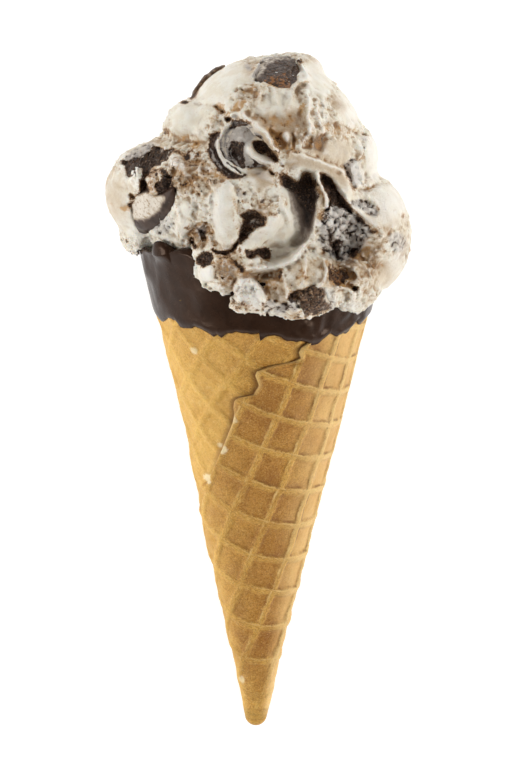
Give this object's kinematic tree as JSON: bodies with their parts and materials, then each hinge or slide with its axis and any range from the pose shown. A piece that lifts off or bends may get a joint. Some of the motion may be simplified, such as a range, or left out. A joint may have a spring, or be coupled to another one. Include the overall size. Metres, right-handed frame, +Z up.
{
  "type": "ice cream cone",
  "caption": "Rolled waffle cone with a chocolate-dipped rim and one large scoop of vanilla ice cream with dark cookie and chocolate pieces, lying on its side.",
  "frame": {"origin": "bottom centre of the whole part's box, on the surface it lies on", "axes": "+Z up, +Y from the wafer's tip to the scoop, +X to the right when the tip points to the viewer"},
  "size_m": [0.0946, 0.2126, 0.0864],
  "materials": {
    "wafer": "matt, baked golden, browner in the cells",
    "chocolate": "set dark chocolate, satin",
    "ice_cream": "ivory, moist, rough where torn",
    "cookie": "nearly black, crumbly, moist where it lies in the cream"
  },
  "bodies": {
    "root": {"waffle_cone": "wafer", "chocolate_coat": "chocolate", "ice_cream": "ice_cream", "cookie_chunk_top": "cookie", "cookie_sliver_upper_left": "cookie", "cookie_disc_centre": "cookie", "cookie_chunk_mid": "cookie", "cookie_chunk_left": "cookie", "chocolate_disc_left": "chocolate", "cookie_chunk_inner": "cookie", "cookie_chunk_right": "cookie", "cookie_chunk_low_right": "cookie"}
  },
  "joints": []
}
